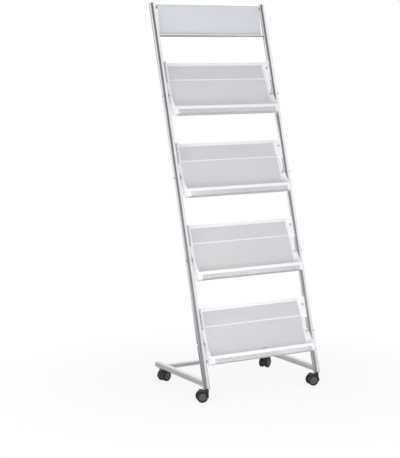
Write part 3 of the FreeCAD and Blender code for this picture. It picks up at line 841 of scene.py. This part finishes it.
    def tray_zone(self) -> tuple[bpy.types.Object, Matrix]:
        """Model the zone of lip, tray and panel.

        Returns:
            The zone, and its place in the shelf.
        """
        half = self.sheet / 2
        arc = (self.bend_radius - half) * math.pi / 2
        lip = self.lip_top - self.bend_radius
        floor = self.tray_depth - 2 * self.bend_radius
        step = arc / self.bend_steps
        starts = (lip, lip + arc + floor)
        hinges = [
            start + (index + 0.5) * step for start in starts for index in range(self.bend_steps)
        ]
        below = lip + floor + 2 * arc
        height = below + self.panel_top - self.bend_radius
        piece = self.flat_sheet("tray_zone", height, below)
        self.fold(piece, hinges)
        place = Matrix.Translation((0, -half, self.bend_radius - below))
        return piece, place @ turned(90)

    def crest_zone(self) -> tuple[bpy.types.Object, Matrix]:
        """Model the zone above the crease.

        Returns:
            The zone, and its place in the shelf.
        """
        low, high = self.top_zone
        piece = self.flat_sheet("crest_zone", high - low)
        inset = Matrix.Translation((0, -self.sheet / 2, low))
        return piece, self.crease() @ inset @ turned(90)

    def crease(self) -> Matrix:
        """Give the crease's place in the shelf, turned as the sheet above it."""
        return Matrix.Translation((0, 0, self.crease_up)) @ turned(-self.crease_angle)

    def bent_blank(self) -> bpy.types.Object:
        """Copy the lowest shelf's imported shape.

        Returns:
            The copy, as one closed mesh.
        """
        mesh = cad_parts["shelf_1"].data.copy()
        blank = bpy.data.objects.new("shelf_blank", mesh)
        bpy.context.scene.collection.objects.link(blank)
        activate(blank)
        bpy.ops.object.mode_set(mode="EDIT")
        bpy.ops.mesh.select_all(action="SELECT")
        bpy.ops.mesh.remove_doubles(threshold=self.blank_weld)
        bpy.ops.mesh.customdata_custom_splitnormals_clear()
        bpy.ops.object.mode_set(mode="OBJECT")
        mesh.materials.clear()
        self.coat(blank)
        return blank

    def coat(self, piece: bpy.types.Object) -> None:
        """Give a piece of the shelf its two finishes: faces first, holes' walls second.

        Args:
            piece: The piece, which has none yet.
        """
        for finish in (POWDER, PUNCHED):
            piece.data.materials.append(finish.material())

    def open_windows(self, blank: bpy.types.Object, place: Matrix) -> None:
        """Cut the places of the punched zones out of the blank.

        Args:
            blank: The shelf's shape, where it stands.
            place: The shelf's place.
        """
        out, inside = self.cut_margin, self.bend_radius + self.cut_margin
        front = self.tray_depth + out
        low, high = self.top_zone
        cuts = (
            (place, (front - inside, front), (-out, self.lip_top)),
            (place, (-out, front), (-out, inside)),
            (place, (-out, inside), (-out, self.panel_top)),
            (place @ self.crease(), (-out, inside), (low, high)),
        )
        for frame_of_cut, (near, far), (bottom, top) in cuts:
            deselect()
            bpy.ops.mesh.primitive_cube_add(size=1, location=(0, 0, 0))
            cutter = bpy.context.object
            middle = Matrix.Translation((0, -(near + far) / 2, (bottom + top) / 2))
            scale = Matrix.Diagonal((2 * self.half_width, far - near, top - bottom, 1))
            set_place(cutter, frame_of_cut @ middle @ scale)
            use_modifier(blank, "BOOLEAN", operation="DIFFERENCE", object=cutter, solver="EXACT")
            bpy.data.objects.remove(cutter)

    def punched_shelf(self) -> bpy.types.Object:
        """Model the lowest shelf.

        Returns:
            The shelf, where it stands.
        """
        place = Matrix.Translation((0, *self.heel)) @ turned(-self.lean)
        shelf = self.bent_blank()
        self.open_windows(shelf, place)
        zones = []
        for zone, zone_place in (self.tray_zone(), self.crest_zone()):
            self.coat(zone)
            use_modifier(zone, "SOLIDIFY", thickness=self.sheet, offset=0.0, material_offset_rim=1)
            set_place(zone, place @ zone_place)
            zones.append(zone)
        activate(shelf)
        for zone in zones:
            zone.select_set(True)
        bpy.ops.object.join()
        bpy.ops.object.shade_smooth_by_angle(angle=math.radians(self.smooth_below))
        shelf.name = "shelf_1_punched"
        return shelf

    def build(self) -> None:
        """Model the lowest shelf and copy it to the others' places."""
        first = self.punched_shelf()
        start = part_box("shelf_1")[0]
        for number in range(1, self.count + 1):
            shelf = first
            if number > 1:
                shelf = first.copy()
                shelf.data = first.data.copy()
                shelf.name = f"shelf_{number}_punched"
                bpy.context.scene.collection.objects.link(shelf)
                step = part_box(f"shelf_{number}")[0] - start
                set_place(shelf, Matrix.Translation(step))
            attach(shelf, "root")
            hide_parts(f"shelf_{number}")
            shelf.data.calc_loop_triangles()
            LOG.info("shelf %d: %d triangles", number, len(shelf.data.loop_triangles))


@dataclass
class ShelfFasteners:
    """Bolts, nuts, screws and spacers that hold the shelves to the uprights."""

    outer: tuple[str, ...] = ("shelf_bolts",)
    inner: tuple[str, ...] = ("shelf_nuts", "shelf_screws")
    spacers: tuple[str, ...] = ("shelf_spacers",)

    def build(self) -> None:
        """Dress the fasteners."""
        dress(self.inner, ZINC)
        dress(self.outer, PALE_ZINC)
        dress(self.spacers, PALE_NYLON)
        LOG.info("fasteners dressed")


@dataclass
class TwinWheelCaster:
    """One swivel caster with its hood and two wheels."""

    name: str
    wheels: int = 2

    def build(self) -> None:
        """Dress the caster's nodes."""
        dress([f"{self.name}_stem", f"{self.name}_axle"], ZINC)
        dress([f"{self.name}_hood"], DARK_NYLON)
        for number in range(1, self.wheels + 1):
            wheel = f"{self.name}_wheel_{number}"
            dress([f"{wheel}_tyre"], RUBBER)
            dress([f"{wheel}_hub"], PALE_NYLON)
            dress([f"{wheel}_cap"], DISC_NYLON)
        LOG.info("caster %s dressed", self.name)


# -------------------------------------------------------------------------- studio
@dataclass(frozen=True)
class SoftBox:
    """Square soft lamp, which no surface mirrors."""

    name: str
    spot: tuple[float, float, float]
    watts: float
    width: float

    def hang(self, target: tuple[float, float, float]) -> None:
        """Hang the lamp so that it faces a point.

        Args:
            target: The point.
        """
        aim = Vector(target) - Vector(self.spot)
        turn = aim.to_track_quat("-Z", "Y").to_euler()
        deselect()
        bpy.ops.object.light_add(type="AREA", location=self.spot, rotation=turn)
        lamp = bpy.context.object
        lamp.name = self.name
        lamp.data.energy = self.watts
        lamp.data.size = self.width
        lamp.visible_glossy = False


@dataclass
class Studio:
    """Pale floor, soft lamps, surrounding light and the camera.

    The room that the chrome mirrors is drawn by bearing, as a share of a full
    turn: 0.5 is toward the camera, 0.25 to the left of its view, 0.75 to the
    right, 0 and 1 behind the rack. How far a direction points up is its Z.
    """

    eye: tuple[float, float, float] = (-2.5963, -4.1374, 1.2523)
    azimuth: float = -30.419
    pitch: float = 7.759
    roll: float = -0.102
    lens: float = 104.098
    sensor: float = 36.0
    screen_right: tuple[float, float, float] = (0.862, -0.506, 0.0)
    toward_eye: tuple[float, float, float] = (-0.506, -0.862, 0.0)

    lamps: tuple[SoftBox, ...] = (
        SoftBox("left_soft_box", (-3.1, -1.1, 0.9), 35.0, 1.6),
        SoftBox("right_soft_box", (2.4, -2.6, 1.8), 10.0, 1.8),
        SoftBox("low_fill_box", (-0.7, -1.5, 0.12), 14.0, 1.0),
    )
    lamp_target: tuple[float, float, float] = (0.0, 0.1, 0.7)
    soft_light: float = 0.70

    # Each fade runs between two distances, and its share is the strength at one end.
    floor_width: float = 60.0
    paper_clouds: float = 25 * MM
    paper_tones: tuple[str, str] = ("#efefef", "#f4f4f4")
    # The mirrored floor is dark toward the camera and in a ring about the feet.
    mirrored_tone: str = "#6c6c6c"
    front_fade: tuple[float, float] = (0.0, 0.35)
    feet_fade: tuple[float, float] = (0.9, 2.1)
    feet_share: float = 0.92
    close_fade: tuple[float, float] = (0.45, 0.75)
    close_share: float = 0.78
    # The floor shows the rack's shadow close to it, and is plain white further out.
    shadow_fade: tuple[float, float] = (0.35, 1.1)
    shadow_glow: float = 0.85

    # The room's fades run between two heights, each the Z of a direction.

    walls: tuple[tuple[float, str], ...] = (
        (0.0, "#f4f4f4"), (0.105, "#f4f4f4"), (0.135, "#b4b4b4"), (0.175, "#b4b4b4"),
        (0.20, "#f4f4f4"), (0.26, "#ffffff"), (0.34, "#ececec"), (0.40, "#7a7a7a"),
        (0.56, "#7a7a7a"), (0.61, "#dcdcdc"), (0.68, "#ffffff"), (1.0, "#f4f4f4"),
    )
    skirting: tuple[tuple[float, str], ...] = (
        (0.0, "#f4f4f4"), (0.12, "#f4f4f4"), (0.15, "#9c9c9c"), (0.20, "#9c9c9c"),
        (0.23, "#f4f4f4"), (0.33, "#f4f4f4"), (0.39, "#6c6c6c"), (0.72, "#6c6c6c"),
        (0.80, "#f4f4f4"), (1.0, "#f4f4f4"),
    )
    skirting_fade: tuple[float, float] = (0.08, 0.22)
    haze_tone: str = "#f4f4f4"
    haze_fade: tuple[float, float] = (0.22, 0.44)
    haze_share: float = 0.25
    ceiling_tone: str = "#ffffff"
    ceiling_fade: tuple[float, float] = (0.86, 0.97)

    def add_camera(self) -> None:
        """Place the camera by its direction, pitch and roll."""
        turn, down, tilt = (math.radians(v) for v in (self.azimuth, self.pitch, self.roll))
        look = Vector((
            -math.sin(turn) * math.cos(down), math.cos(turn) * math.cos(down), -math.sin(down)
        ))
        level = Vector((math.cos(turn), math.sin(turn), 0))
        rise = level.cross(look)
        right = level * math.cos(tilt) + rise * math.sin(tilt)
        above = rise * math.cos(tilt) - level * math.sin(tilt)
        axes = Matrix((right, above, -look)).transposed()
        deselect()
        bpy.ops.object.camera_add(location=self.eye, rotation=axes.to_euler())
        camera = bpy.context.object
        camera.name = "view_camera"
        camera.data.lens = self.lens
        camera.data.sensor_width = self.sensor
        bpy.context.scene.camera = camera

    def add_floor(self) -> None:
        """Lay the floor."""
        deselect()
        bpy.ops.mesh.primitive_plane_add(size=self.floor_width, location=(0, 0, 0))
        floor = bpy.context.object
        floor.name = "studio_floor"
        floor.data.materials.append(self.floor_paper())

    def floor_paper(self) -> bpy.types.Material:
        """Make the floor's paper: white to the camera, with the rack's soft shadow on it.

        Returns:
            The material.
        """
        material = bpy.data.materials.new("studio_paper")
        material.use_nodes = True
        tree = material.node_tree
        tree.nodes.clear()
        place = add_node(tree, "ShaderNodeTexCoord").outputs[Space.OBJECT.value]
        rays = add_node(tree, "ShaderNodeLightPath")
        reach = add_node(tree, "ShaderNodeVectorMath", {"operation": "LENGTH"}, {0: place})
        dark = self.mirrored_dark(tree, place, reach.outputs["Value"], rays)
        grain = add_node(
            tree,
            "ShaderNodeTexNoise",
            inputs={"Vector": place, "Scale": 1 / self.paper_clouds, "Detail": 4.0},
        )
        tone = add_node(
            tree,
            "ShaderNodeValToRGB",
            inputs={"Fac": grain.outputs["Fac"]},
            stops=zip((0.3, 0.7), self.paper_tones),
        )
        ground = add_node(
            tree,
            "ShaderNodeMix",
            COLOURS,
            {"Factor": dark, FIRST: tone.outputs["Color"], SECOND: linear(self.mirrored_tone)},
        )
        paper = add_node(tree, "ShaderNodeBsdfDiffuse", inputs={"Color": ground.outputs[MIXED]})
        glow = add_node(tree, "ShaderNodeEmission", inputs={"Strength": 1.0})
        share = add_node(
            tree,
            "ShaderNodeMapRange",
            SMOOTH,
            {
                "Value": reach.outputs["Value"],
                "From Min": self.shadow_fade[0], "From Max": self.shadow_fade[1],
                "To Min": self.shadow_glow, "To Max": 1.0,
            },
        )
        seen = rays.outputs["Is Camera Ray"]
        for kind in ("Is Transmission Ray", "Is Glossy Ray"):
            seen = add_node(
                tree, "ShaderNodeMath", {"operation": "MAXIMUM"}, {0: seen, 1: rays.outputs[kind]}
            ).outputs[0]
        lit = add_node(tree, "ShaderNodeMath", {"operation": "SUBTRACT"}, {0: seen, 1: dark})
        amount = add_node(
            tree,
            "ShaderNodeMath",
            {"operation": "MULTIPLY"},
            {0: share.outputs["Result"], 1: lit.outputs[0]},
        )
        mixed = add_node(
            tree,
            "ShaderNodeMixShader",
            inputs={0: amount.outputs[0], 1: paper.outputs[0], 2: glow.outputs[0]},
        )
        add_node(tree, "ShaderNodeOutputMaterial", inputs={"Surface": mixed.outputs[0]})
        return material

    def mirrored_dark(
        self,
        tree: bpy.types.NodeTree,
        place: bpy.types.NodeSocket,
        reach: bpy.types.NodeSocket,
        rays: bpy.types.Node,
    ) -> bpy.types.NodeSocket:
        """Work out how dark the chrome mirrors each spot of the floor.

        Args:
            tree: The paper's tree.
            place: The spot.
            reach: Its distance from the middle of the rack.
            rays: The Light Path node.

        Returns:
            A share of darkness, nothing for any but glossy rays.
        """
        ahead = add_node(
            tree,
            "ShaderNodeVectorMath",
            {"operation": "DOT_PRODUCT"},
            {0: place, 1: self.toward_eye},
        )
        front = add_node(
            tree,
            "ShaderNodeMapRange",
            SMOOTH,
            {
                "Value": ahead.outputs["Value"],
                "From Min": self.front_fade[0], "From Max": self.front_fade[1],
            },
        )
        around = add_node(
            tree,
            "ShaderNodeMapRange",
            SMOOTH,
            {
                "Value": reach, "From Min": self.feet_fade[0], "From Max": self.feet_fade[1],
                "To Min": self.feet_share, "To Max": 0.0,
            },
        )
        close = add_node(
            tree,
            "ShaderNodeMapRange",
            SMOOTH,
            {
                "Value": reach, "From Min": self.close_fade[0], "From Max": self.close_fade[1],
                "To Min": self.close_share, "To Max": 1.0,
            },
        )
        feet = add_node(
            tree,
            "ShaderNodeMath",
            {"operation": "MULTIPLY"},
            {0: around.outputs["Result"], 1: close.outputs["Result"]},
        )
        shaded = add_node(
            tree,
            "ShaderNodeMath",
            {"operation": "MAXIMUM"},
            {0: front.outputs["Result"], 1: feet.outputs[0]},
        )
        dark = add_node(
            tree,
            "ShaderNodeMath",
            {"operation": "MULTIPLY"},
            {0: shaded.outputs[0], 1: rays.outputs["Is Glossy Ray"]},
        )
        return dark.outputs[0]

    def add_surroundings(self) -> None:
        """White behind the rack, soft light on it, and a room for the chrome to mirror."""
        world = bpy.data.worlds.new("studio_light")
        bpy.context.scene.world = world
        world.use_nodes = True
        tree = world.node_tree
        tree.nodes.clear()
        white = linear("#ffffff")
        mirrored, soft, backdrop = (
            add_node(tree, "ShaderNodeBackground", inputs={"Color": colour, "Strength": strength})
            for colour, strength in (
                (self.mirrored_room(tree), 1.0), (white, self.soft_light), (white, 1.0),
            )
        )
        rays = add_node(tree, "ShaderNodeLightPath")
        light = add_node(
            tree,
            "ShaderNodeMixShader",
            inputs={0: rays.outputs["Is Glossy Ray"], 1: soft.outputs[0], 2: mirrored.outputs[0]},
        )
        seen = add_node(
            tree,
            "ShaderNodeMath",
            {"operation": "MAXIMUM"},
            {0: rays.outputs["Is Camera Ray"], 1: rays.outputs["Is Transmission Ray"]},
        )
        mixed = add_node(
            tree,
            "ShaderNodeMixShader",
            inputs={0: seen.outputs[0], 1: light.outputs[0], 2: backdrop.outputs[0]},
        )
        add_node(tree, "ShaderNodeOutputWorld", inputs={"Surface": mixed.outputs[0]})

    def mirrored_room(self, tree: bpy.types.NodeTree) -> bpy.types.NodeSocket:
        """Draw the room that the chrome mirrors: pale, with a dark side and a grey one.

        Args:
            tree: The world's tree.

        Returns:
            The room's colour in each direction.
        """
        way = add_node(tree, "ShaderNodeTexCoord").outputs[Space.DIRECTION.value]
        side, front = (
            add_node(tree, "ShaderNodeVectorMath", {"operation": "DOT_PRODUCT"}, {0: way, 1: axis})
            for axis in (self.screen_right, self.toward_eye)
        )
        angle = add_node(
            tree,
            "ShaderNodeMath",
            {"operation": "ARCTAN2"},
            {0: side.outputs["Value"], 1: front.outputs["Value"]},
        )
        bearing = add_node(
            tree,
            "ShaderNodeMapRange",
            inputs={"Value": angle.outputs[0], "From Min": -math.pi, "From Max": math.pi},
        )
        walls, skirting = (
            add_node(
                tree,
                "ShaderNodeValToRGB",
                inputs={"Fac": bearing.outputs["Result"]},
                stops=stops,
            )
            for stops in (self.walls, self.skirting)
        )
        height = add_node(tree, "ShaderNodeSeparateXYZ", inputs={0: way}).outputs["Z"]
        above_skirting, ceiling = (
            add_node(
                tree,
                "ShaderNodeMapRange",
                SMOOTH,
                {"Value": height, "From Min": low, "From Max": high},
            )
            for low, high in (self.skirting_fade, self.ceiling_fade)
        )
        haze = add_node(
            tree,
            "ShaderNodeMapRange",
            inputs={
                "Value": height, "From Min": self.haze_fade[0], "From Max": self.haze_fade[1],
                "To Min": self.haze_share, "To Max": 0.0,
            },
        )
        hazy_walls = add_node(
            tree,
            "ShaderNodeMix",
            COLOURS,
            {
                "Factor": haze.outputs["Result"],
                FIRST: walls.outputs["Color"],
                SECOND: linear(self.haze_tone),
            },
        )
        sides = add_node(
            tree,
            "ShaderNodeMix",
            COLOURS,
            {
                "Factor": above_skirting.outputs["Result"],
                FIRST: skirting.outputs["Color"],
                SECOND: hazy_walls.outputs[MIXED],
            },
        )
        room = add_node(
            tree,
            "ShaderNodeMix",
            COLOURS,
            {
                "Factor": ceiling.outputs["Result"],
                FIRST: sides.outputs[MIXED],
                SECOND: linear(self.ceiling_tone),
            },
        )
        return room.outputs[MIXED]

    def build(self) -> None:
        """Set up floor, light and camera."""
        self.add_camera()
        self.add_floor()
        self.add_surroundings()
        for lamp in self.lamps:
            lamp.hang(self.lamp_target)
        bpy.context.scene.view_settings.view_transform = "Standard"
        LOG.info("studio ready")


def main() -> None:
    """Build the rack's sub-assemblies in order and report each."""
    logging.basicConfig(level=logging.INFO, format="%(name)s: %(message)s")
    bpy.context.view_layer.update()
    Studio().build()
    TubeFrame().build()
    HeaderPanel().build()
    PerforatedShelf().build()
    ShelfFasteners().build()
    for name in ("front_left", "front_right", "rear_left", "rear_right"):
        TwinWheelCaster(name).build()


if __name__ == "__main__":
    main()
